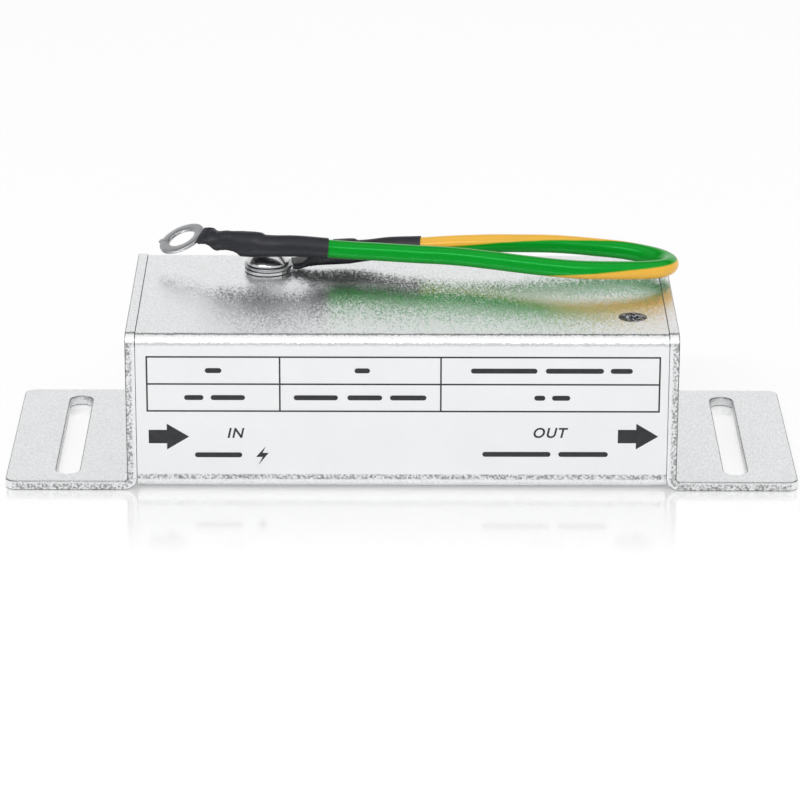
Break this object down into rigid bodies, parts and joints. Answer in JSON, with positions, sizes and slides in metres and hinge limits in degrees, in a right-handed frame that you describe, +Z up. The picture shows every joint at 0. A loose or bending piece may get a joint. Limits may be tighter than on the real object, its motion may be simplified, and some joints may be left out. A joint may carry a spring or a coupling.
{
  "type": "ethernet surge protector",
  "caption": "Small metal box with a shielded network jack at each end, slotted mounting feet, and a green and yellow earth lead with ring lugs screwed to the top.",
  "frame": {"origin": "middle of the plane that the two feet stand on, under the middle of the housing", "axes": "+X from the inlet jack to the outlet jack, +Y to the back, away from the printed front, +Z up from the feet to the top that carries the earth screw"},
  "size_m": [0.1446, 0.048, 0.038],
  "materials": {
    "bead_blasted_aluminium": "fine bead-blasted, clear anodised",
    "blackened_steel": "black oxide, satin",
    "nickel_plated_steel": "bright nickel plate",
    "tinned_copper": "dull tin plate",
    "brass": "turned brass",
    "gilt_contact": "gold flash",
    "solder_mask": "green solder mask on glass epoxy",
    "black_moulded_plastic": "moulded, satin",
    "moulding_compound": "matt",
    "ceramic_and_metal_tube": "white ceramic with plated ends",
    "shrunk_sleeve": "satin polyolefin",
    "green_and_yellow_pvc": "smooth PVC, green with a yellow stripe"
  },
  "bodies": {
    "root": {"circuit_board": "solder_mask", "clamp_diode_1": "moulding_compound", "clamp_diode_2": "moulding_compound", "contact_in_1": "gilt_contact", "contact_in_2": "gilt_contact", "contact_in_3": "gilt_contact", "contact_in_4": "gilt_contact", "contact_in_5": "gilt_contact", "contact_in_6": "gilt_contact", "contact_in_7": "gilt_contact", "contact_in_8": "gilt_contact", "contact_out_1": "gilt_contact", "contact_out_2": "gilt_contact", "contact_out_3": "gilt_contact", "contact_out_4": "gilt_contact", "contact_out_5": "gilt_contact", "contact_out_6": "gilt_contact", "contact_out_7": "gilt_contact", "contact_out_8": "gilt_contact", "diode_array_1": "moulding_compound", "diode_array_2": "moulding_compound", "diode_array_3": "moulding_compound", "diode_array_4": "moulding_compound", "earth_lead": "green_and_yellow_pvc", "earth_post": "brass", "earth_screw": "nickel_plated_steel", "earth_washer": "nickel_plated_steel", "end_plate_in": "bead_blasted_aluminium", "end_plate_out": "bead_blasted_aluminium", "end_screw_in_1": "blackened_steel", "end_screw_in_2": "blackened_steel", "end_screw_in_3": "blackened_steel", "end_screw_in_4": "blackened_steel", "end_screw_out_1": "blackened_steel", "end_screw_out_2": "blackened_steel", "end_screw_out_3": "blackened_steel", "end_screw_out_4": "blackened_steel", "flush_screw": "blackened_steel", "gas_tube_1": "ceramic_and_metal_tube", "gas_tube_2": "ceramic_and_metal_tube", "gas_tube_3": "ceramic_and_metal_tube", "gas_tube_4": "ceramic_and_metal_tube", "housing": "bead_blasted_aluminium", "jack_body_in": "black_moulded_plastic", "jack_body_out": "black_moulded_plastic", "jack_shield_in": "tinned_copper", "jack_shield_out": "tinned_copper", "lug_at_screw": "tinned_copper", "lug_free": "tinned_copper", "sleeve_at_screw": "shrunk_sleeve", "sleeve_free": "shrunk_sleeve", "support_post": "brass"}
  },
  "joints": []
}
